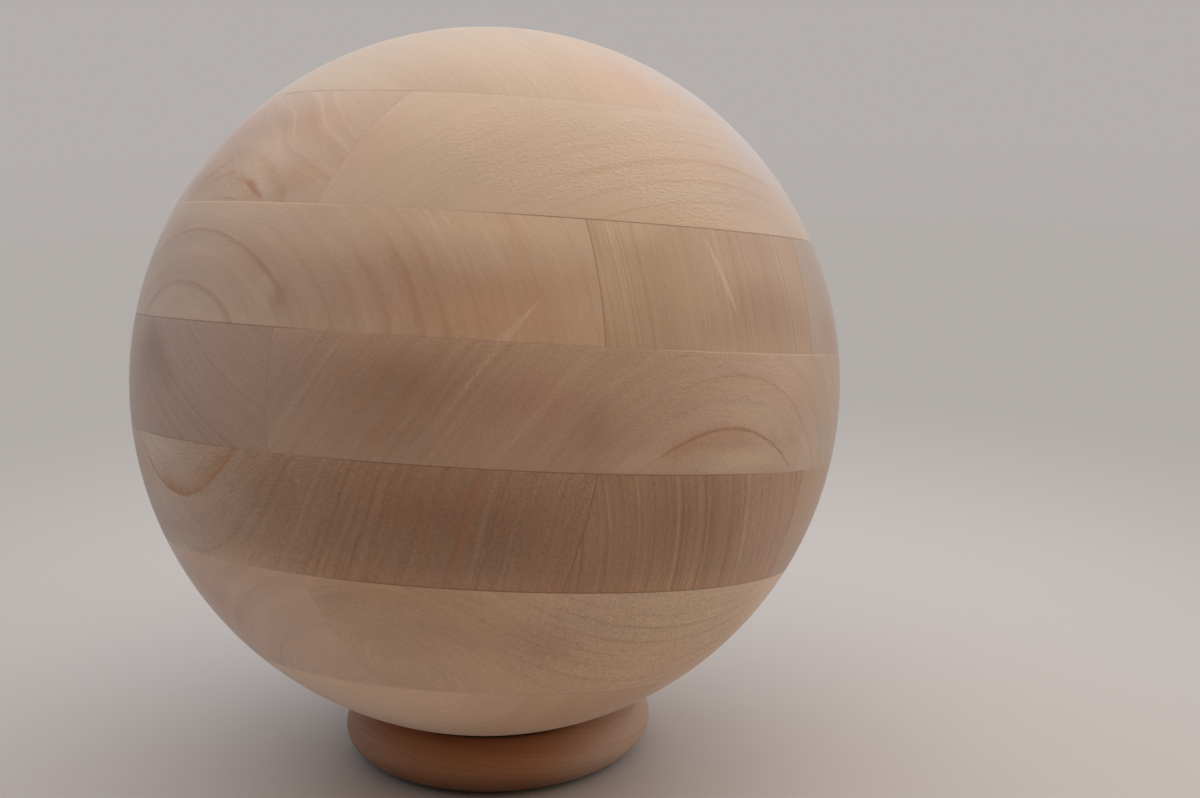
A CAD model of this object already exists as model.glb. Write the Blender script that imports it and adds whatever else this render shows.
import math

import bmesh
import bpy
from mathutils import Matrix, Vector


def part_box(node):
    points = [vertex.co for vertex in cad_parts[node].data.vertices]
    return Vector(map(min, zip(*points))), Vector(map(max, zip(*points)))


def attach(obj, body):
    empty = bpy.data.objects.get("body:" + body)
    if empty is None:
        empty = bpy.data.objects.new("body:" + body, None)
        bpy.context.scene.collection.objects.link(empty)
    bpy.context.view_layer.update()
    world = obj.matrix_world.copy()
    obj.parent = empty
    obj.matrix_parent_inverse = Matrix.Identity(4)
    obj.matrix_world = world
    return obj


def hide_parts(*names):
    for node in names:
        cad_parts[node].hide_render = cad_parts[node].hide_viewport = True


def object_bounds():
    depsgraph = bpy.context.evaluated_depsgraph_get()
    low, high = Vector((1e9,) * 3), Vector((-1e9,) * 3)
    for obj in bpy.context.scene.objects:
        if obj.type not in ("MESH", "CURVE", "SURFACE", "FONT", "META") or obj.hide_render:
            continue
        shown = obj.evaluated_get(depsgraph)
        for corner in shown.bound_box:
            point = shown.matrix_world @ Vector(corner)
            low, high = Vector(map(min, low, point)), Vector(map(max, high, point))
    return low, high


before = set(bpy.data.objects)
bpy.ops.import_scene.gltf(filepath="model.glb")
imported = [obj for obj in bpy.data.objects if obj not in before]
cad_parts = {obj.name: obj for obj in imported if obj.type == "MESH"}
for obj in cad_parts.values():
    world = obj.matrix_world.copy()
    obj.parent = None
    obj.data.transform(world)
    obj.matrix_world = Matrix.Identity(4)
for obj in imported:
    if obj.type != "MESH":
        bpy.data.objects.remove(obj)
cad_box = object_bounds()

# ---------------------------------------------------------------- the ball's boards
# Twenty-one planed lime boards, glued up three to a layer with every other layer laid
# crosswise, and the block then turned to a ball and sanded. Nothing but glue holds it,
# and the layers lean a little, as the ball happens to lie in its ring.

MM = 0.001
LAYERS = 7
PLACES = ["front", "middle", "back"]
BOARD_THICK = 48.6 * MM
BOARD_WIDE = 113.4 * MM
BLOCK_DROP = 1.4 * MM
SANDED = 0.02 * MM    # taken off the turned ball by the last sanding
LEAN_BACK = math.radians(11.1)
LEAN_RIGHT = math.radians(4.4)
BOARD_TURN = math.radians(-50.7)

ball_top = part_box("layer1_middle_board")[1].z
turned_radius = (cad_box[1][0] - cad_box[0][0]) / 2
ball_centre = Vector((0, 0, ball_top - turned_radius))
ball_radius = turned_radius - SANDED
block_top = LAYERS * BOARD_THICK / 2 - BLOCK_DROP

lean = Matrix.Rotation(LEAN_RIGHT, 3, "Y") @ Matrix.Rotation(-LEAN_BACK, 3, "X")


def board_axes(layer):
    """Turn of one layer's boards: X along the grain, Y to the back, Z through the layers."""
    crosswise = math.pi / 2 if layer % 2 == 0 else 0
    return lean @ Matrix.Rotation(BOARD_TURN + crosswise, 3, "Z")


def layer_span(layer):
    """Lowest and highest height of a layer in the block, measured from the ball's middle."""
    top = block_top - (layer - 1) * BOARD_THICK
    return top - BOARD_THICK, top


# Each board's outer face is the ball's own surface, with its glued edges eased by
# sanding to a groove too fine to feel. Inside, the boards are flat and meet face to
# face.
GRID = 1.6 * MM
EASE_STEPS = [0.0, 0.12 * MM, 0.3 * MM]
EASE_DEPTH = 0.03 * MM
EASE_WIDTH = 0.3 * MM
BAND_BULGE = 1.05    # a turned face is longer than its flat board, by about this much
CAP_BULGE = 1.35
SAME_POINT = 0.01 * MM
SHARP_EDGE = math.radians(20)


def eased(point, layer):
    """The point on the ball's surface, sunk a little where it comes near a glued edge."""
    low, high = layer_span(layer)
    half = BOARD_WIDE / 2
    gaps = [abs(point.z - low), abs(point.z - high), abs(abs(point.y) - half)]
    near = max(0.0, 1 - min(gaps) / EASE_WIDTH)
    return point * (1 - EASE_DEPTH * near * near / ball_radius)


def spaced(low, high, length, ease_low=True, ease_high=True):
    """Values from low to high, one for each grid step of the length, closer at eased ends."""
    span = high - low
    edge = [s / length * span for s in EASE_STEPS]
    start = [low + e for e in edge] if ease_low else [low]
    end = [high - e for e in reversed(edge)] if ease_high else [high]
    inner = end[0] - start[-1]
    count = max(2, round(abs(inner) / abs(span) * length / GRID))
    return start + [start[-1] + inner * i / count for i in range(1, count)] + end


def band_patch(layer, place, side):
    """Rows of points on the outer face of a board in layers 2 to 6, as one grid."""
    low, high = layer_span(layer)
    half = BOARD_WIDE / 2
    at_side = place != "middle"
    widest = math.sqrt(ball_radius ** 2 - min(low ** 2, high ** 2, (low + high) ** 2 / 4))
    reach = math.acos(half / widest) if at_side else math.asin(half / widest)
    rows = []
    turns = spaced(-1, 1, 2 * reach * widest)
    for z in spaced(low, high, BOARD_THICK * BAND_BULGE):
        ring = math.sqrt(ball_radius ** 2 - z * z)
        reach = math.acos(half / ring) if at_side else math.asin(half / ring)
        row = []
        for turn in turns:
            across, along = math.cos(turn * reach) * ring, math.sin(turn * reach) * ring
            if at_side:
                spot = Vector((along, side * across, z))
            else:
                spot = Vector((side * across, along, z))
            row.append(eased(spot, layer))
        rows.append(row)
    return rows


def cap_patch(layer, place, side):
    """The same for the top and the bottom layer, whose boards run over the ball's pole."""
    low, high = layer_span(layer)
    floor = abs(low) if layer == 1 else abs(high)
    up = 1 if layer == 1 else -1
    half = BOARD_WIDE / 2
    edge = math.sqrt(ball_radius ** 2 - floor ** 2)
    if place == "middle":
        ys = spaced(-half, half, BOARD_WIDE)
    else:
        ys = spaced(half, edge, (edge - half) * CAP_BULGE, ease_high=False)
    nearest = min(abs(y) for y in ys)
    longest = 2 * math.acos(floor / math.sqrt(ball_radius ** 2 - nearest ** 2)) * ball_radius
    turns = spaced(-1, 1, longest)
    rows = []
    for y in ys:
        arc = math.sqrt(ball_radius ** 2 - y * y)
        reach = math.acos(min(1.0, floor / arc))
        row = []
        for turn in turns:
            angle = turn * reach
            spot = Vector((math.sin(angle) * arc, side * y, up * math.cos(angle) * arc))
            row.append(eased(spot, layer))
        rows.append(row)
    return rows


def add_grid(bm, rows):
    """Adds the rows of points as a skin of quads and returns their vertices."""
    grid = [[bm.verts.new(p) for p in row] for row in rows]
    for i in range(len(grid) - 1):
        for j in range(len(grid[0]) - 1):
            bm.faces.new((grid[i][j], grid[i][j + 1], grid[i + 1][j + 1], grid[i + 1][j]))
    return grid


def board_mesh(layer, place):
    """A closed mesh of one board: its turned outer face and the flat faces that are glued."""
    bm = bmesh.new()
    in_cap = layer in (1, LAYERS)
    patch = cap_patch if in_cap else band_patch
    side = -1 if place == "front" else 1
    first = add_grid(bm, patch(layer, place, side))
    left = [row[0] for row in first]
    right = [row[-1] for row in first]
    if in_cap:
        bm.faces.new(left + right[::-1])
        bm.faces.new(first[0])
        if place == "middle":
            bm.faces.new(first[-1])
    elif place == "middle":
        second = add_grid(bm, patch(layer, place, -1))
        bm.faces.new(first[0] + second[0][::-1])
        bm.faces.new(first[-1] + second[-1][::-1])
        bm.faces.new(left + [row[0] for row in second][::-1])
        bm.faces.new(right + [row[-1] for row in second][::-1])
    else:
        bm.faces.new(first[0])
        bm.faces.new(first[-1])
        bm.faces.new(left + right[::-1])
    bmesh.ops.remove_doubles(bm, verts=bm.verts, dist=SAME_POINT)
    bmesh.ops.recalc_face_normals(bm, faces=bm.faces)
    bm.transform(Matrix.Translation(ball_centre) @ board_axes(layer).to_4x4())
    mesh = bpy.data.meshes.new(f"layer{layer}_{place}")
    bm.to_mesh(mesh)
    bm.free()
    mesh.shade_smooth()
    mesh.set_sharp_from_angle(angle=SHARP_EDGE)
    return mesh


boards = {}
for layer in range(1, LAYERS + 1):
    for place in PLACES:
        node = f"layer{layer}_{place}_board"
        board = bpy.data.objects.new(f"turned_{node}", board_mesh(layer, place))
        bpy.context.scene.collection.objects.link(board)
        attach(board, "root")
        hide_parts(node)
        boards[layer, place] = board


# The growth rings run round a pith that lies somewhere beside each board, so a board
# shows arcs where its face follows the grain and close lines where the grain comes out
# end on. The turning tool tears the fibres where they run out of the surface at a
# slant, which leaves a fine pebbled skin.
GRAIN_TURN = 37.0
RADIUS_MM = ball_radius / MM


def on_ball(turn, height):
    """A place on the ball, by degrees round from the front and height, both from its middle."""
    axes = board_axes(1)
    angle = math.radians(turn - GRAIN_TURN)
    level = axes.col[0] * math.cos(angle) + axes.col[1] * math.sin(angle)
    return level * math.sqrt(RADIUS_MM ** 2 - height ** 2) + axes.col[2] * height


class Shading:
    """Builds the nodes of one finish. Each call adds a node and gives back its output."""

    def __init__(self, name):
        self.material = bpy.data.materials.new(name)
        self.material.use_nodes = True
        self.tree = self.material.node_tree
        self.tree.nodes.clear()

    def node(self, kind, values=(), **settings):
        made = self.tree.nodes.new(kind)
        for key, value in settings.items():
            setattr(made, key, value)
        for key, value in dict(values).items():
            self.feed(made.inputs[key], value)
        return made

    def feed(self, socket, value):
        if isinstance(value, bpy.types.NodeSocket):
            self.tree.links.new(value, socket)
        else:
            socket.default_value = value

    def math(self, operation, *values):
        made = self.tree.nodes.new("ShaderNodeMath")
        made.operation = operation
        for socket, value in zip(made.inputs, values):
            self.feed(socket, value)
        return made.outputs[0]

    def times(self, *values):
        """All the values multiplied together."""
        product = values[0]
        for value in values[1:]:
            product = self.math("MULTIPLY", product, value)
        return product

    def vector(self, operation, *values):
        made = self.tree.nodes.new("ShaderNodeVectorMath")
        made.operation = operation
        sockets = [made.inputs[0], made.inputs["Scale"]] if operation == "SCALE" else made.inputs
        for socket, value in zip(sockets, values):
            self.feed(socket, value)
        is_number = operation in ("DOT_PRODUCT", "LENGTH", "DISTANCE")
        return made.outputs["Value" if is_number else "Vector"]

    def split(self, vector):
        return self.node("ShaderNodeSeparateXYZ", {0: vector}).outputs

    def join(self, x, y, z):
        return self.node("ShaderNodeCombineXYZ", {0: x, 1: y, 2: z}).outputs[0]

    def ramp(self, value, low, high, from_value=0.0, to_value=1.0):
        """Goes smoothly from from_value to to_value as value goes from low to high."""
        made = self.node("ShaderNodeMapRange", interpolation_type="SMOOTHSTEP")
        for key, given in zip(("Value", "From Min", "From Max", "To Min", "To Max"),
                              (value, low, high, from_value, to_value)):
            self.feed(made.inputs[key], given)
        return made.outputs["Result"]

    def noise(self, place, scale, detail=2.0, roughness=0.5, colour=False):
        made = self.node("ShaderNodeTexNoise", {"Vector": place, "Scale": scale,
                                                "Detail": detail, "Roughness": roughness})
        return made.outputs["Color" if colour else "Fac"]

    def mix(self, amount, first, second):
        made = self.node("ShaderNodeMix", data_type="RGBA")
        self.feed(made.inputs["Factor"], amount)
        self.feed(made.inputs[6], first)
        self.feed(made.inputs[7], second)
        return made.outputs[2]

    def year_lines(self, out, drawn, width, seed):
        """Each year's dark edge and the pale start of the next, some bolder than others."""
        spread = self.noise(self.join(self.math("MULTIPLY", out, 0.05), seed, 0.0), 1.0, 1.0)
        years = self.math("MULTIPLY_ADD", spread, 6.0, self.math("DIVIDE", out, width))
        years = self.math("MULTIPLY_ADD", self.noise(drawn, 0.15, 2.0), 0.8, years)
        bold = self.node("ShaderNodeTexWhiteNoise", {"W": self.math("FLOOR", years)},
                         noise_dimensions="1D").outputs["Value"]
        bold = self.times(bold, bold, 1.4)
        part = self.math("FRACT", years)
        late = self.times(self.ramp(part, 0.45, 0.9), self.ramp(part, 0.9, 1.0, 1.0, 0.0), bold)
        early = self.times(self.ramp(part, 0.0, 0.12), self.ramp(part, 0.12, 0.5, 1.0, 0.0), bold)
        return late, early

    def patch(self, here, axes, turn, height, wide, high):
        """1 in the middle of a soft oval on the ball, falling to 0 at its edge."""
        squash = Vector((1, 1, wide / high))
        middle = axes.transposed() @ on_ball(turn, height)
        away = self.vector("DISTANCE", self.vector("MULTIPLY", here, squash), middle * squash)
        return self.ramp(away, 0.0, wide, 1.0, 0.0)


def rgb(red, green, blue):
    """A colour given as it looks on a screen, 0 to 255, in the renderer's linear values."""
    def linear(v):
        v = v / 255
        return v / 12.92 if v <= 0.04045 else ((v + 0.055) / 1.055) ** 2.4
    return (linear(red), linear(green), linear(blue), 1.0)


BROWN = rgb(150, 108, 78)
UMBER = rgb(140, 104, 80)
RUST = rgb(178, 118, 72)
HONEY = rgb(184, 132, 82)
TAN = rgb(208, 158, 116)
ROSE = rgb(206, 152, 126)
MAUVE = rgb(160, 126, 112)
CREAM = rgb(226, 198, 168)
SHELL = rgb(214, 184, 162)
ASH = rgb(196, 178, 164)
DUSK = rgb(172, 148, 138)
PEARL = rgb(194, 184, 184)
OLIVE = rgb(186, 166, 136)
BUTTER = rgb(242, 210, 166)
PEACH = rgb(246, 204, 164)
GLUE_DARK = rgb(128, 88, 60)
GLUE_PALE = rgb(236, 208, 178)

# What each board's timber looks like, first for any board, then for the top and the
# bottom layer, which come from one plank each, then for each of the others. The pith
# is given in millimetres towards the front and up from the ball's middle, with its
# drift for each millimetre along the grain, and a knot in the same way, with rings of
# its own. Rings are (distance from the pith, width, strength), soft on the inner side,
# or on the outer side where the width is negative. Some show in one place only, a few
# of those in a colour of their own. Stains and torn or quiet places are soft ovals of
# (turn, height, half width, half height).
PLAIN = dict(
    tone=(206, 178, 150), pith=(-250, 100), tilt=(0.0, 0.0), wobble=1.2, rings=(), pale=(),
    ring_tint=BROWN, ring_place=None, knot=None, streaks=0.1, streak_mm=9.0, hair=0.5, lines=0.3,
    line_mm=4.0, stains=(), torn=(), torn_all=0.2, grit=0.8, pebble_mm=2.0, pebble_long=1.7,
    rippled=False, fleck=0.08, quiet=None,
)
MATCHED = {
    1: dict(
        tone=(205, 179, 151), pith=(-359, 61), lines=0.45, line_mm=3.2, grit=0.5,
        stains=[(34, 130, 44, 30, 0.35, TAN), (66, 130, 36, 30, 0.5, ASH),
                (60, 136, 44, 30, 0.4, PEARL)]),
    7: dict(
        tone=(250, 216, 185), pith=(-193, 99), tilt=(-0.3, 0.33), lines=0.6, line_mm=2.6,
        torn_all=0.6, grit=1.4,
        stains=[(36, -132, 84, 40, 0.6, TAN), (44, -126, 30, 16, 0.2, HONEY),
                (8, -126, 30, 14, 0.2, ROSE)]),
}
FINGERS = (-14, 32, 80, 42)
LEFT_END = (-54, 44, 96, 70)
FIGURE = {
    (2, "front"): dict(
        tone=(208, 183, 156), pith=(236, 18), tilt=(0.028, 0.12), lines=0.15, line_mm=6.0,
        ring_tint=HONEY, ring_place=(38, 88, 90, 80), pebble_mm=1.2,
        rings=[(117.7, 1.4, 0.2), (127.6, 2.4, 0.22), (137.9, 3.2, 0.3), (148, 2.2, 0.18),
               (153.7, 1.6, 0.1), (158.2, 1.6, 0.1), (167.6, 2.4, 0.1), (192, 5.0, 0.12)],
        stains=[(-10, 110, 60, 22, 0.3, CREAM), (-28, 96, 36, 34, 0.25, ROSE),
                (30, 74, 70, 10, 0.25, TAN), (34, 96, 50, 24, 0.2, TAN),
                (52, 88, 44, 22, 0.12, BROWN), (76, 96, 56, 50, 0.5, ASH),
                (68, 108, 44, 30, 0.45, PEARL)],
        torn=[(6, 98, 60, 34, 0.7), (36, 96, 62, 40, 1.1)]),
    (2, "middle"): dict(
        tone=(203, 174, 147), pith=(-175, -372), tilt=(0.12, 0.12), wobble=3.0, lines=0.3,
        line_mm=3.0,
        knot=(-5, 33, [(41.5, 3.0, 0.25), (47, 5.0, 0.25), (51, 6.0, 0.3), (60, 7.0, 0.3)]),
        rings=[(511, 2.0, 0.12), (529.5, 2.6, 0.12), (537, 4.5, 0.22), (542, 2.0, 0.16)],
        ring_tint=RUST,
        pale=[(526.4, 1.4, 0.15), (531.8, 1.5, 0.3), (539.3, 1.5, 0.35), (543.3, 1.4, 0.2)],
        stains=[(-40, 106, 30, 14, 0.4, TAN), (-66, 108, 40, 16, 0.35, ROSE),
                (-64, 104, 40, 24, 0.3, MAUVE), (-46, 108, 30, 14, 0.22, BROWN),
                (-36, 80, 16, 10, 0.2, BROWN), (-34, 84, 16, 10, 0.3, TAN),
                (-66, 80, 26, 12, 0.3, MAUVE), (-46, 90, 24, 18, 0.45, CREAM),
                (-45, 77, 16, 10, 0.4, CREAM)]),
    (2, "back"): dict(
        tone=(205, 176, 147), pith=(120, 190), tilt=(0.05, -0.03),
        rings=[(180, 3.0, 0.2), (191, 3.0, 0.16), (214, 4.0, 0.2)],
        ring_tint=HONEY),
    (3, "front"): dict(
        tone=(206, 178, 151), pith=(320, 18), tilt=(0.006, -0.06), wobble=0.6, hair=0.9, lines=0.3,
        line_mm=3.0, ring_tint=RUST, quiet=(-64, 45, 90, 60),
        rings=[(165.9, 1.2, 0.3, LEFT_END, BROWN), (176.7, 1.4, 0.34, LEFT_END, BROWN),
               (184.5, 3.0, 0.18, FINGERS), (190, 2.4, 0.12, FINGERS), (198, 3.0, 0.2, FINGERS),
               (206.5, 3.0, 0.22, FINGERS), (213.8, 4.4, 0.22, FINGERS),
               (218.6, 3.0, 0.14, FINGERS), (226, 2.6, 0.16, FINGERS), (206.5, 3.0, 0.06),
               (214, 4.0, 0.08), (245, 6.0, 0.14), (262, 4.0, 0.1)],
        pale=[(172, 3.0, 0.15), (192.5, 4.0, 0.16), (202, 3.0, 0.14), (235, 6.0, 0.15)],
        stains=[(-32, 34, 7, 11, 0.25, BROWN), (-35, 37, 8, 12, 0.4, CREAM),
                (-20, 38, 90, 22, 0.35, MAUVE), (2, 30, 60, 16, 0.45, TAN),
                (0, 67, 60, 12, 0.55, CREAM), (-45, 71, 50, 12, 0.3, CREAM),
                (-14, 48, 50, 14, 0.2, BROWN), (-64, 46, 70, 34, 0.3, MAUVE),
                (6, 46, 40, 14, 0.16, RUST), (-38, 50, 40, 14, 0.16, RUST),
                (-12, 36, 44, 14, 0.15, ROSE), (-74, 46, 26, 30, 0.3, ASH),
                (-46, 38, 60, 22, 0.16, BROWN), (-22, 68, 24, 10, 0.2, CREAM),
                (0, 42, 44, 12, 0.18, RUST), (14, 48, 16, 14, 0.14, RUST)]),
    (3, "middle"): dict(
        tone=(191, 160, 130), pith=(-480, 80), wobble=0.4, hair=0.8, lines=0.8, line_mm=2.2,
        rings=[(455.7, 5.0, 0.1), (473, 4.0, 0.1), (497.7, 3.0, 0.15), (509.7, 2.0, 0.1),
               (520.2, 2.0, 0.14)],
        pale=[(481, 4.0, 0.12), (487, 2.0, 0.06), (529, 6.0, 0.12)],
        stains=[(46, 40, 44, 24, 0.5, BROWN), (36, 32, 24, 12, 0.2, BROWN),
                (16, 44, 18, 40, 0.3, CREAM), (20, 70, 26, 12, 0.4, CREAM),
                (57, 34, 20, 16, 0.22, BROWN), (46, 66, 34, 12, 0.2, MAUVE)]),
    (3, "back"): dict(
        tone=(184, 160, 140), pith=(330, -60), tilt=(-0.04, 0.03), lines=0.5, line_mm=3.0,
        stains=[(68, 32, 24, 18, 0.35, RUST)]),
    (4, "front"): dict(
        tone=(195, 163, 138), pith=(-126, 97), tilt=(-0.066, -0.12), wobble=0.8, hair=1.0, grit=2.2,
        fleck=0.1, pebble_mm=1.1, lines=0.35, line_mm=3.6, ring_tint=RUST,
        rings=[(304.4, 0.4, 0.6, (39, -14, 52, 60), BROWN), (304.3, -4.0, 0.3, (33, -12, 34, 30)),
               (304.3, 0.4, 0.15), (297, 0.4, 0.35, (52, 2, 92, 92)), (297, -4.0, 0.08),
               (294, 3.0, 0.08), (286, 3.0, 0.06), (266, 4.0, 0.06), (258, 3.0, 0.1),
               (252, 6.0, 0.16), (242, 4.0, 0.12), (231, 2.4, 0.18), (211, 3.0, 0.12)],
        pale=[(302, 3.0, 0.06), (281.7, 5.0, 0.12), (263.7, 3.0, 0.05), (221, 5.0, 0.1)],
        stains=[(-12, 3, 76, 26, 0.4, UMBER), (-14, -16, 44, 12, 0.18, UMBER),
                (-12, 9, 18, 12, 0.16, UMBER), (15, -8, 14, 16, 0.22, UMBER),
                (12, -10, 36, 20, 0.1, UMBER), (40, -20, 44, 9, 0.5, CREAM),
                (44, 0, 40, 18, 0.3, CREAM), (60, -20, 28, 14, 0.4, SHELL),
                (7, 0, 30, 24, 0.2, ROSE), (0, -18, 30, 8, 0.2, ROSE), (-30, 4, 34, 30, 0.4, DUSK),
                (24, -21, 26, 8, 0.3, CREAM), (50, 18, 40, 14, 0.25, SHELL),
                (66, 0, 34, 60, 0.4, OLIVE), (56, -12, 24, 20, 0.3, SHELL),
                (6, 2, 34, 12, 0.1, UMBER), (-34, 0, 16, 30, 0.3, DUSK)],
        torn_all=0.45),
    (4, "middle"): dict(
        tone=(185, 154, 133), pith=(180, 228), tilt=(0.04, 0.037), wobble=1.0, hair=1.1, grit=2.0,
        lines=0.3,
        rings=[(260.2, 1.0, 0.3), (267.7, 1.6, 0.1), (282.7, 3.0, 0.26), (287.4, 3.0, 0.12),
               (299, 2.0, 0.1), (306, 3.0, 0.1)],
        pale=[(274, 3.0, 0.08), (295, 4.0, 0.06), (302, 2.0, 0.06)],
        stains=[(-61, 10, 24, 16, 0.45, UMBER), (-56, 0, 18, 12, 0.2, UMBER),
                (-74, 0, 26, 24, 0.3, ROSE), (-60, -15, 34, 12, 0.25, ROSE),
                (-60, 6, 36, 30, 0.22, BROWN)]),
    (4, "back"): dict(
        tone=(194, 162, 134), pith=(-160, 240), tilt=(0.06, 0.0), lines=0.4,
        rings=[(290, 3.0, 0.2), (303, 4.0, 0.16)]),
    (5, "front"): dict(
        tone=(185, 149, 120), pith=(-66, -37), tilt=(0.013, -0.097), wobble=0.8, hair=1.4,
        ring_tint=RUST, lines=0.8, line_mm=2.6, grit=5.2, fleck=0.22, pebble_mm=1.2,
        quiet=(-62, -45, 100, 90),
        rings=[(218.9, 0.6, 0.7, (-51, -44, 56, 60), HONEY),
               (218.8, -3.0, 0.8, (-49, -44, 42, 50), HONEY), (218.9, 0.6, 0.3),
               (211.6, 0.8, 0.3, (-46, -66, 40, 24)), (197, 3.0, 0.1), (190, 2.6, 0.14),
               (184, 3.0, 0.18), (176.4, 2.4, 0.16), (172, 3.0, 0.26), (165.9, 2.0, 0.1),
               (161.6, 3.4, 0.36), (139, 2.0, 0.12), (133, 1.6, 0.1), (127, 2.6, 0.18)],
        pale=[(202, 2.0, 0.06), (155.5, 4.0, 0.12), (145, 3.0, 0.08), (134.4, 1.6, 0.06),
              (128.4, 1.4, 0.06)],
        stains=[(-62, -40, 92, 90, 0.8, SHELL), (-62, -30, 50, 30, 0.4, CREAM),
                (-10, -46, 100, 32, 0.45, BROWN), (4, -50, 70, 30, 0.4, BROWN),
                (-50, -74, 80, 14, 0.8, SHELL), (-44, -75, 70, 9, 0.35, CREAM),
                (-69, -40, 26, 20, 0.6, TAN), (0, -73, 90, 9, 0.5, ROSE),
                (-58, -75, 60, 8, 0.35, CREAM), (-32, -40, 18, 16, 0.2, UMBER),
                (-12, -38, 20, 20, 0.18, RUST), (-36, -70, 76, 12, 0.4, TAN)],
        torn_all=1.3),
    (5, "middle"): dict(
        tone=(180, 142, 112), pith=(248, -109), tilt=(0.12, 0.041), wobble=0.6, hair=1.5, lines=1.3,
        line_mm=3.6, streaks=0.2, streak_mm=5.0, grit=4.4, fleck=0.2, pebble_mm=1.1, torn_all=0.8,
        rings=[(221.2, 2.0, 0.12), (231.7, 2.0, 0.26), (242.2, 1.6, 0.12), (252.7, 2.0, 0.2),
               (258.7, 2.6, 0.16), (269.2, 2.0, 0.1), (275.2, 3.0, 0.22), (284.2, 4.0, 0.24),
               (315.7, 3.0, 0.16)],
        pale=[(225.7, 1.6, 0.18), (237.7, 1.6, 0.18), (243.7, 1.2, 0.1), (255.7, 1.2, 0.2),
              (263.2, 1.4, 0.14), (291.7, 3.6, 0.24), (296.4, 2.4, 0.2), (302.2, 2.0, 0.16),
              (312.7, 1.6, 0.14)],
        stains=[(33, -44, 44, 30, 0.45, BROWN), (54, -50, 26, 34, 0.3, ROSE),
                (35, -75, 90, 11, 0.5, TAN), (58, -68, 28, 12, 0.4, TAN)]),
    (5, "back"): dict(
        tone=(190, 152, 117), pith=(60, 150), tilt=(0.02, 0.05), lines=0.5, line_mm=3.2,
        rings=[(205, 3.0, 0.2), (214, 3.0, 0.25)],
        ring_tint=RUST),
    (6, "front"): dict(
        tone=(234, 199, 167), pith=(76, -115), tilt=(0.017, -0.021), lines=0.35, line_mm=3.4,
        ring_tint=HONEY, ring_place=(38, -96, 90, 80), pebble_mm=0.65, pebble_long=2.6,
        rippled=True, hair=1.0, grit=2.0, fleck=0.27,
        rings=[(66.5, 1.2, 0.14), (60.8, 1.8, 0.3), (53.5, 2.0, 0.26), (46.5, 1.4, 0.16),
               (40.2, 1.8, 0.24), (33.4, 1.8, 0.22), (25, 2.0, 0.16)],
        stains=[(48, -88, 66, 34, 0.45, BUTTER), (36, -112, 90, 26, 0.8, PEACH),
                (-10, -77, 70, 12, 0.35, TAN), (-24, -84, 18, 18, 0.2, MAUVE),
                (-6, -92, 70, 26, 0.25, TAN), (-14, -94, 44, 20, 0.15, DUSK),
                (14, -98, 18, 18, 0.2, HONEY)],
        torn=[(-5, -98, 90, 60, 1.1), (34, -96, 100, 60, 2.4)]),
    (6, "middle"): dict(
        tone=(232, 198, 172), pith=(83, -206), wobble=1.2, lines=0.5, line_mm=5.0,
        rings=[(134.2, 3.0, 0.08), (144.7, 5.0, 0.15)],
        hair=0.9, grit=1.6,
        stains=[(-58, -92, 36, 32, 0.4, ROSE), (-66, -84, 24, 14, 0.16, BROWN),
                (-46, -78, 60, 9, 0.3, TAN)]),
    (6, "back"): dict(
        tone=(220, 186, 156), pith=(-110, -260), tilt=(0.0, 0.06), lines=0.4,
        rings=[(170, 3.0, 0.2), (182, 3.0, 0.16)],
        torn_all=0.8),
}

# How plain each glue line shows, top to bottom: dark and pale stretches along it
# as (turn, half width, strength). The upright joints have one strength a layer.
SEAM_DARK = {
    1: [(-50, 90, 0.35)], 2: [(35, 130, 0.7)], 3: [(-55, 110, 0.65), (0, 60, 0.2)],
    4: [(-60, 80, 0.45), (10, 130, 0.7)], 5: [(12, 130, 0.75)], 6: [(40, 90, 0.2)],
}
SEAM_PALE = {2: [(-50, 90, 0.6)], 3: [(45, 80, 0.5)]}
SEAM_BEHIND = (180, 250, 0.4)    # every glue line, round the back
JOINT_DARK = {1: 0.0, 2: 0.12, 3: 0.5, 4: 0.2, 5: 0.6, 6: 0.12, 7: 0.0}

# Narrow marks across the finished surface: where each starts and ends, its greatest
# half width, its strength, its colour, and whether it is a wedge, a lens, a trail or
# a soft stroke.
MARKS = {
    (2, "middle"): [((-51.2, 81.8), (-43.6, 77.6), 2.8, 0.45, RUST, "stroke"),
                    ((-48.0, 80.6), (-40.8, 72.4), 3.6, 0.5, RUST, "stroke"),
                    ((-47.0, 79.5), (-41.6, 73.2), 2.0, 0.25, BROWN, "stroke"),
                    ((-53.0, 73.2), (-47.0, 72.3), 1.0, 0.45, RUST, "stroke"),
                    ((-66.0, 78.0), (-55.0, 91.0), 3.4, 0.35, RUST, "stroke"),
                    ((-60.0, 80.5), (-51.5, 84.5), 2.6, 0.35, RUST, "stroke")],
    (3, "front"): [((7.0, 40.6), (0.6, 20.0), 2.4, 0.45, CREAM, "wedge")],
    (4, "front"): [((2.2, 25.6), (-9.0, -19.0), 0.8, 0.32, CREAM, "trail")],
    (3, "middle"): [((34.3, 70.0), (39.0, 36.0), 1.3, 0.35, CREAM, "lens")],
    (5, "back"): [((62.5, -47.9), (59.0, -57.5), 1.0, 0.35, CREAM, "lens")],
}


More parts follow.
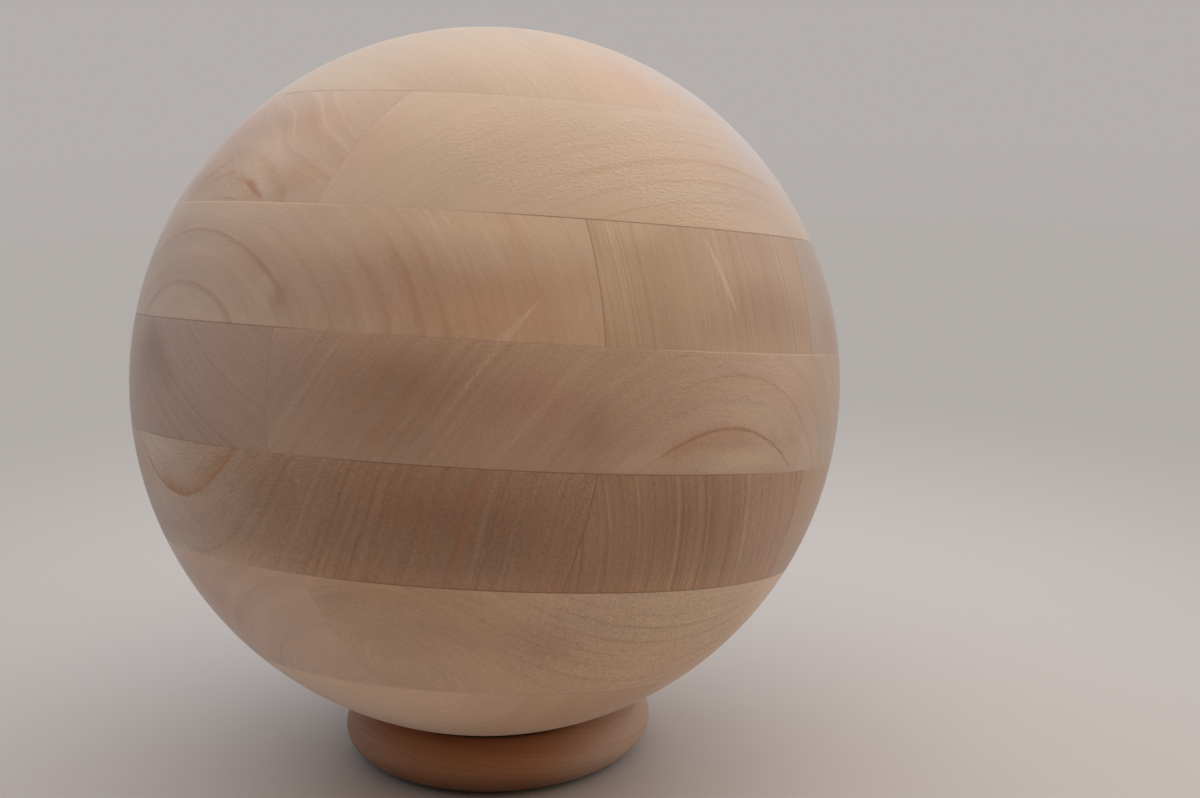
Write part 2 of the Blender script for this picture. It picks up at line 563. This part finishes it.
def mark_on(s, here, axes, start, end, half, shape):
    """How much of a point is covered by a narrow mark from start to end."""
    first, last = (axes.transposed() @ on_ball(*place) for place in (start, end))
    run = last - first
    side = run.cross(first + last).normalized()
    off = s.vector("SUBTRACT", here, first)
    part = s.math("DIVIDE", s.vector("DOT_PRODUCT", off, run), run.length_squared)
    beside = s.math("ABSOLUTE", s.vector("DOT_PRODUCT", off, side))
    ends = 1.0
    if shape == "wedge":
        reach = s.math("MULTIPLY", s.math("MAXIMUM", part, 0.0), half)
        ends = s.ramp(part, 0.0, 0.04)
    elif shape == "trail":
        lumps = s.noise(here, 0.7, 2.0)
        reach = s.math("MULTIPLY", lumps, 2 * half)
        ends = s.times(s.ramp(part, -0.02, 0.02), s.ramp(part, 0.3, 1.0, 1.0, 0.0),
                       s.ramp(lumps, 0.35, 0.6))
    else:
        belly = s.math("MAXIMUM", s.times(part, s.math("SUBTRACT", 1.0, part)), 0.0)
        reach = s.times(belly, 4 * half)
    if shape == "stroke":
        soft = s.ramp(beside, 0.0, s.math("MAXIMUM", reach, 0.01), 1.0, 0.0)
        return s.times(soft, s.ramp(reach, 0.0, half / 2))
    inside = s.ramp(s.math("SUBTRACT", beside, reach), -0.5, 0.25, 1.0, 0.0)
    wide_enough = s.ramp(reach, 0.0, 0.5)
    return s.times(inside, wide_enough, ends)


# How much each part of the figure darkens or lightens the wood, how far each kind of
# fibre stands up, and how near its edge a glue line is full and gone, in millimetres.
HAIR_SHADE = 0.26
LATE_SHADE = -0.11
EARLY_SHADE = 0.07
FIBRE_SHADE = 0.10
GRIT_SHADE = 0.12
FIBRE_RELIEF = 0.08
GRIT_RELIEF = 0.1
PEBBLE_RELIEF = 0.6
GLUE_FULL = 0.05
GLUE_GONE = 0.4
SHEEN_TINT = (0.5, 0.74, 1.0, 1.0)


def board_wood(layer, place):
    """The finish of one board, worked out from where each point lies in its timber."""
    look = dict(PLAIN, **MATCHED.get(layer, {}), **FIGURE.get((layer, place), {}))
    seed = layer * 7.0 + (0.0 if layer in MATCHED else PLACES.index(place) * 3.1)
    s = Shading(f"lime_layer{layer}_{place}")
    axes = board_axes(layer)
    spot = s.node("ShaderNodeTexCoord").outputs["Object"]
    here = s.node("ShaderNodeMapping", {"Vector": spot, "Location": ball_centre,
                                        "Rotation": axes.to_euler(), "Scale": (MM, MM, MM)},
                  vector_type="TEXTURE").outputs[0]
    along, across, up = s.split(here)

    # distance from the pith, with the tree's own waviness
    slow = s.vector("MULTIPLY", here, (0.004, 0.02, 0.02))
    slow = s.vector("ADD", slow, (seed,) * 3)
    wave = s.vector("SUBTRACT", s.noise(slow, 1.0, 2.0, 0.5, colour=True), (0.5, 0.5, 0.5))
    wave_y, wave_z, _ = s.split(s.vector("SCALE", wave, look["wobble"] * 4))
    off_y = s.math("ADD", s.math("ADD", across, look["pith"][0]), wave_y)
    off_z = s.math("ADD", s.math("SUBTRACT", up, look["pith"][1]), wave_z)
    off_y = s.math("MULTIPLY_ADD", along, look["tilt"][0], off_y)
    off_z = s.math("MULTIPLY_ADD", along, -look["tilt"][1], off_z)
    out = s.vector("LENGTH", s.join(off_y, off_z, 0.0))

    # broad streaks, hair lines and each year's line, all following the rings
    drawn = s.join(out, s.math("MULTIPLY", along, 0.06),
                   s.math("MULTIPLY_ADD", up, 0.08, seed * 9))
    streak = s.ramp(s.noise(drawn, 0.7 / look["streak_mm"], 3.0, 0.6), 0.42, 0.72)
    colour = s.mix(s.times(streak, look["streaks"]), rgb(*look["tone"]), BROWN)
    hair = s.noise(drawn, 0.9, 3.0, 0.7)
    shade = s.math("MULTIPLY_ADD", s.math("SUBTRACT", hair, 0.5), HAIR_SHADE * look["hair"], 1.0)
    late, early = s.year_lines(out, drawn, look["line_mm"], seed)
    loud = 1.0
    if look["quiet"]:
        loud = s.ramp(s.patch(here, axes, *look["quiet"]), 0.0, 0.5, 1.0, 0.25)
        late, early = s.times(late, loud), s.times(early, loud)
    shade = s.math("MULTIPLY_ADD", late, LATE_SHADE * look["lines"], shade)
    shade = s.math("MULTIPLY_ADD", early, EARLY_SHADE * look["lines"], shade)

    # stained and clear places
    for turn, height, wide, high, strength, tint in look["stains"]:
        soft = s.patch(here, axes, turn, height, wide, high)
        broken = s.math("MULTIPLY_ADD", s.noise(drawn, 0.12, 3.0, 0.65), 0.9, 0.55)
        colour = s.mix(s.times(soft, broken, strength), colour, tint)

    # the rings that stand out: each darkens outwards and stops short
    torn_edge = s.math("SUBTRACT", s.noise(here, 0.4, 3.0, 0.65), 0.5)
    rough_edge = s.math("MULTIPLY_ADD", torn_edge, 0.6, out)
    fading = s.ramp(s.noise(here, 0.025, 1.0), 0.25, 0.6, 0.45, 1.1)
    if look["ring_place"]:
        fading = s.times(fading, s.ramp(s.patch(here, axes, *look["ring_place"]), 0.0, 0.5))
    sets = [(rough_edge, fading, look["ring_tint"], look["rings"])]
    if look["knot"]:
        knot_y, knot_z, knot_rings = look["knot"]
        from_knot = s.join(s.math("ADD", across, knot_y), s.math("SUBTRACT", up, knot_z), 0.0)
        swirl = s.math("SUBTRACT", s.noise(here, 0.09, 2.0, 0.5), 0.5)
        away = s.math("MULTIPLY_ADD", swirl, 5.0, s.vector("LENGTH", from_knot))
        lumps = s.ramp(s.noise(here, 0.14, 2.0, 0.6), 0.35, 0.6, 0.45, 1.1)
        sets.append((away, s.times(s.ramp(across, 10, -40, 0.4, 1.0), lumps), RUST, knot_rings))
    for distance, showing, tint, rings in sets:
        for radius, wide, strength, *own in rings:
            inner, outer = (wide, 0.4 * wide) if wide > 0 else (-0.15 * wide, -wide)
            rise = s.ramp(distance, radius - inner, radius)
            fall = s.ramp(distance, radius, radius + outer, 1.0, 0.0)
            shown = [s.ramp(s.patch(here, axes, *own[0]), 0.0, 0.5)] if own else []
            amount = s.times(rise, fall, showing, strength, *shown)
            colour = s.mix(amount, colour, own[1] if own[1:] else tint)
    for radius, wide, strength in look["pale"]:
        rise = s.ramp(out, radius - wide / 2, radius)
        fall = s.ramp(out, radius, radius + wide / 2, 1.0, 0.0)
        colour = s.mix(s.times(rise, fall, fading, strength), colour, CREAM)
    for start, end, half, strength, tint, shape in MARKS.get((layer, place), ()):
        covered = mark_on(s, here, axes, start, end, half, shape)
        colour = s.mix(s.times(covered, strength), colour, tint)

    # fibres: long along the grain, dots on the end, torn into pebbles where they rise
    torn = look["torn_all"]
    for turn, height, wide, high_mm, strength in look["torn"]:
        part = s.ramp(s.patch(here, axes, turn, height, wide, high_mm), 0.0, 0.5)
        torn = s.math("MAXIMUM", torn, s.times(part, strength))
    fibre = s.noise(s.vector("MULTIPLY", here, (0.04, 1.0, 1.0)), 0.9, 3.0, 0.6)
    if look["rippled"]:
        torn_up = s.join(out, s.times(across, 0.3), along)
    else:
        torn_up = s.join(up, across, along)
    torn_up = s.vector("MULTIPLY", torn_up, (1.0, 1.0, 1 / look["pebble_long"]))
    pebble = s.noise(torn_up, 1 / look["pebble_mm"], 2.0, 0.6)
    grit = s.noise(here, 0.8, 3.0, 0.75)
    flecks = s.times(s.math("SUBTRACT", pebble, 0.5), torn)
    dots = s.times(s.math("SUBTRACT", grit, 0.5), loud)
    shade = s.math("MULTIPLY_ADD", s.math("SUBTRACT", fibre, 0.5), FIBRE_SHADE, shade)
    shade = s.math("MULTIPLY_ADD", flecks, look["fleck"], shade)
    shade = s.math("MULTIPLY_ADD", dots, GRIT_SHADE * look["grit"], shade)
    colour = s.vector("SCALE", colour, shade)

    # glue lines at the board's flat faces
    low, high = (z / MM for z in layer_span(layer))
    for seam, level in ((layer - 1, high), (layer, low)):
        if seam in SEAM_DARK:
            near = s.math("ABSOLUTE", s.math("SUBTRACT", up, level))
            dark = SEAM_DARK[seam] + [SEAM_BEHIND]
            for tint, stretches in ((GLUE_DARK, dark), (GLUE_PALE, SEAM_PALE.get(seam, ()))):
                amount = 0.0
                for turn, wide, strength in stretches:
                    part = s.patch(here, axes, turn, level, wide, wide)
                    part = s.times(s.ramp(part, 0.0, 0.5), strength)
                    amount = part if amount == 0.0 else s.math("MAXIMUM", amount, part)
                if amount != 0.0:
                    line = s.ramp(near, GLUE_FULL, GLUE_GONE, 1.0, 0.0)
                    colour = s.mix(s.times(line, amount), colour, tint)
    half = BOARD_WIDE / 2 / MM
    side = s.math("ABSOLUTE", s.math("SUBTRACT", s.math("ABSOLUTE", across), half))
    if JOINT_DARK[layer]:
        line = s.ramp(side, GLUE_FULL, GLUE_GONE, 1.0, 0.0)
        colour = s.mix(s.times(line, JOINT_DARK[layer]), colour, GLUE_DARK)

    height = s.math("MULTIPLY_ADD", fibre, FIBRE_RELIEF, s.times(grit, GRIT_RELIEF))
    height = s.math("MULTIPLY_ADD", s.times(pebble, torn), PEBBLE_RELIEF, height)
    bump = s.node("ShaderNodeBump", {"Height": height, "Distance": 1.0 * MM, "Strength": 0.8})
    skin = s.node("ShaderNodeBsdfPrincipled", {"Base Color": colour, "Roughness": 0.45,
                                               "Sheen Weight": 0.22, "Sheen Roughness": 0.35,
                                               "Sheen Tint": SHEEN_TINT,
                                               "Normal": bump.outputs[0]})
    s.node("ShaderNodeOutputMaterial", {"Surface": skin.outputs[0]})
    return s.material


for (layer, place), board in boards.items():
    board.data.materials.append(board_wood(layer, place))


# ---------------------------------------------------------------- the ring stand
# One ring turned from a darker, oiled offcut, with an oval section, a foot sanded
# flat and a shoulder that the ball has bedded into. The ball just rests in it.

RING_LINE_RADIUS = 55 * MM
OVAL_HALF_WIDE = 17 * MM
OVAL_HALF_HIGH = 12 * MM
FOOT_CUT = 0.2 * MM
ROUND_STEPS = 288
OVAL_STEPS = 96
OILED_LOW = rgb(143, 102, 76)
OILED_HIGH = rgb(184, 129, 88)
RIGHT_END = rgb(194, 163, 143)
FAR_LEFT = rgb(178, 134, 106)
OIL_STREAK = rgb(152, 98, 64)
OILED_FIBRE_SHADE = 0.16
PORE_SHADE = 0.12
OILED_EARLY_SHADE = 0.06


def ring_mesh():
    """The oval section carried round, with its foot cut flat and its seat cut to the ball."""
    bm = bmesh.new()
    hoops = []
    for i in range(OVAL_STEPS):
        angle = 2 * math.pi * i / OVAL_STEPS
        across = RING_LINE_RADIUS + OVAL_HALF_WIDE * math.cos(angle)
        up = max(0.0, OVAL_HALF_HIGH - FOOT_CUT + OVAL_HALF_HIGH * math.sin(angle))
        from_ball = Vector((across, 0, up)) - ball_centre
        if from_ball.length < ball_radius:
            spot = ball_centre + from_ball.normalized() * ball_radius
            across, up = spot.x, spot.z
        turns = [2 * math.pi * j / ROUND_STEPS for j in range(ROUND_STEPS)]
        hoop = [(across * math.cos(t), across * math.sin(t), up) for t in turns]
        hoops.append([bm.verts.new(place) for place in hoop])
    for i in range(OVAL_STEPS):
        below, above = hoops[i], hoops[(i + 1) % OVAL_STEPS]
        for j in range(ROUND_STEPS):
            k = (j + 1) % ROUND_STEPS
            bm.faces.new((below[j], below[k], above[k], above[j]))
    bmesh.ops.recalc_face_normals(bm, faces=bm.faces)
    mesh = bpy.data.meshes.new("ring")
    bm.to_mesh(mesh)
    bm.free()
    mesh.shade_smooth()
    return mesh


def ring_wood():
    """The growth rings lie nearly flat in the offcut, so fine lines run level all round."""
    s = Shading("oiled_ring")
    here = s.vector("SCALE", s.node("ShaderNodeTexCoord").outputs["Object"], 1 / MM)
    wave = s.noise(s.vector("MULTIPLY", here, (0.3, 1.0, 1.0)), 0.03, 2.0)
    out = s.math("MULTIPLY_ADD", wave, 8.0, s.vector("DOT_PRODUCT", here, (0.07, 0.05, 1.0)))
    drawn = s.vector("MULTIPLY", here, (0.03, 0.1, 1.0))
    late, early = s.year_lines(out, drawn, 1.3, 4.0)

    # darker low down, paler at the right end, with streaks of oil along the rings
    along, across, up = s.split(here)
    colour = s.mix(s.ramp(up, 3.0, 20.0), OILED_LOW, OILED_HIGH)
    colour = s.mix(s.ramp(along, 12.0, 66.0), colour, RIGHT_END)
    colour = s.mix(s.ramp(along, -30.0, -70.0), colour, FAR_LEFT)
    streak = s.ramp(s.noise(s.join(out, s.times(along, 0.02), 0.0), 0.25, 3.0, 0.6), 0.45, 0.7)
    colour = s.mix(s.times(streak, 0.3), colour, OIL_STREAK)

    # fibres, pores, the years' lines and the gouge's upright strokes
    fibre = s.noise(s.vector("MULTIPLY", here, (0.05, 1.0, 1.0)), 1.1, 3.0, 0.7)
    pore = s.noise(here, 1.2, 2.0, 0.7)
    shade = s.math("MULTIPLY_ADD", s.math("SUBTRACT", fibre, 0.5), OILED_FIBRE_SHADE, 1.0)
    shade = s.math("MULTIPLY_ADD", s.math("SUBTRACT", pore, 0.5), PORE_SHADE, shade)
    shade = s.math("MULTIPLY_ADD", late, LATE_SHADE, shade)
    shade = s.math("MULTIPLY_ADD", early, OILED_EARLY_SHADE, shade)
    stroke = s.noise(s.vector("MULTIPLY", here, (1.0, 1.0, 0.2)), 1.6, 2.0, 0.7)
    shade = s.math("MULTIPLY_ADD", s.math("SUBTRACT", stroke, 0.5), OILED_FIBRE_SHADE, shade)

    # the shoulder darkens where the ball has bedded in
    gap = s.math("SUBTRACT", s.vector("DISTANCE", here, ball_centre / MM), RADIUS_MM)
    shade = s.times(shade, s.ramp(gap, 0.5, 2.0, 0.05, 1.0))
    colour = s.vector("SCALE", colour, shade)
    relief = s.math("MULTIPLY_ADD", late, -0.5, s.math("ADD", fibre, pore))
    bump = s.node("ShaderNodeBump", {"Height": relief, "Distance": 0.1 * MM, "Strength": 0.6})
    skin = s.node("ShaderNodeBsdfPrincipled", {"Base Color": colour, "Roughness": 0.6,
                                               "Specular IOR Level": 0.35,
                                               "Normal": bump.outputs[0]})
    s.node("ShaderNodeOutputMaterial", {"Surface": skin.outputs[0]})
    return s.material


ring = bpy.data.objects.new("oval_ring", ring_mesh())
ring.data.materials.append(ring_wood())
bpy.context.scene.collection.objects.link(ring)
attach(ring, "root")
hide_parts("ring_stand")


# ---------------------------------------------------------------- table, light and camera
# Not part of the object: a plain pale table, soft lamps above and behind it, and
# the view from a little above the ball's middle.

TABLE_REACH = 12.0
TABLE_TONE = rgb(199, 195, 192)
NEAR_TONE = rgb(177, 172, 168)
FAR_TONE = rgb(180, 175, 172)
ROOM_TONE = (1.0, 0.87, 0.77, 1.0)
ROOM_STRENGTH = 0.07

table_mesh = bpy.data.meshes.new("table")
bm = bmesh.new()
bmesh.ops.create_circle(bm, cap_ends=True, segments=96, radius=TABLE_REACH)
bm.to_mesh(table_mesh)
bm.free()
table = bpy.data.objects.new("table", table_mesh)
bpy.context.scene.collection.objects.link(table)
s = Shading("pale_table")
reach = s.vector("LENGTH", s.node("ShaderNodeTexCoord").outputs["Object"])
skin = s.node("ShaderNodeBsdfPrincipled", {"Base Color": TABLE_TONE, "Roughness": 0.8})
haze_tone = s.mix(s.ramp(reach, 0.9, 2.6), NEAR_TONE, FAR_TONE)
haze = s.node("ShaderNodeEmission", {"Color": haze_tone})
rays = s.node("ShaderNodeLightPath").outputs
mirrored = s.math("MAXIMUM", rays["Is Glossy Ray"], rays["Is Transmission Ray"])
seen = s.math("MAXIMUM", rays["Is Camera Ray"], mirrored)
blend = s.node("ShaderNodeMixShader", {0: s.times(s.ramp(reach, 0.2, 0.75), seen),
                                       1: skin.outputs[0], 2: haze.outputs[0]})
s.node("ShaderNodeOutputMaterial", {"Surface": blend.outputs[0]})
table_mesh.materials.append(s.material)


def soft_lamp(name, place, size, watts, colour):
    """A square soft box that faces the ball."""
    light = bpy.data.lights.new(name, "AREA")
    light.shape = "SQUARE"
    light.size = size
    light.energy = watts
    light.color = colour
    lamp = bpy.data.objects.new(name, light)
    lamp.location = ball_centre + Vector(place)
    lamp.rotation_euler = (-Vector(place)).to_track_quat("-Z", "Y").to_euler()
    bpy.context.scene.collection.objects.link(lamp)
    return lamp


soft_lamp("tent_roof", (0.0, 0.2, 1.5), 3.0, 28.6, (1.0, 0.95, 0.91))
soft_lamp("tent_mouth", (0.0, -1.0, 1.5), 1.6, 3.7, (1.0, 0.5, 0.2))
soft_lamp("tent_left", (-1.3, 0.1, 0.65), 1.6, 3.9, (0.55, 0.75, 1.0))
soft_lamp("tent_right", (1.3, 0.1, 0.65), 1.6, 9.2, (1.0, 0.96, 0.88))
soft_lamp("tent_back", (0.0, 1.4, 0.9), 2.2, 9.8, (0.84, 0.91, 1.0))
soft_lamp("tent_corner", (1.1, 1.0, 0.8), 1.0, 1.4, (0.1, 0.3, 1.0))

world = bpy.data.worlds.new("room")
bpy.context.scene.world = world
world.use_nodes = True
tree = world.node_tree
dim = tree.nodes["Background"]
dim.inputs["Color"].default_value = ROOM_TONE
dim.inputs["Strength"].default_value = ROOM_STRENGTH
wall = tree.nodes.new("ShaderNodeBackground")
wall.inputs["Color"].default_value = FAR_TONE
path = tree.nodes.new("ShaderNodeLightPath")
shown = tree.nodes.new("ShaderNodeMath")
shown.operation = "MAXIMUM"
tree.links.new(path.outputs["Is Camera Ray"], shown.inputs[0])
tree.links.new(path.outputs["Is Glossy Ray"], shown.inputs[1])
through = tree.nodes.new("ShaderNodeMath")
through.operation = "MAXIMUM"
tree.links.new(shown.outputs[0], through.inputs[0])
tree.links.new(path.outputs["Is Transmission Ray"], through.inputs[1])
choice = tree.nodes.new("ShaderNodeMixShader")
tree.links.new(through.outputs[0], choice.inputs[0])
tree.links.new(dim.outputs[0], choice.inputs[1])
tree.links.new(wall.outputs[0], choice.inputs[2])
tree.links.new(choice.outputs[0], tree.nodes["World Output"].inputs["Surface"])

LENS = 57.9
PITCH = math.radians(14.16)
ROLL = math.radians(-0.93)
VIEW_FROM = Vector((0.0511, -0.860, 0.208))

camera_data = bpy.data.cameras.new("view")
camera_data.lens = LENS
camera_data.sensor_width = 36.0
camera_data.clip_start = 0.05
camera_data.clip_end = 60.0
camera = bpy.data.objects.new("view", camera_data)
aim = Matrix.Rotation(math.pi / 2 - PITCH, 4, "X") @ Matrix.Rotation(ROLL, 4, "Z")
camera.matrix_world = Matrix.Translation(ball_centre + VIEW_FROM) @ aim
bpy.context.scene.collection.objects.link(camera)
bpy.context.scene.camera = camera
bpy.context.scene.view_settings.view_transform = "Standard"
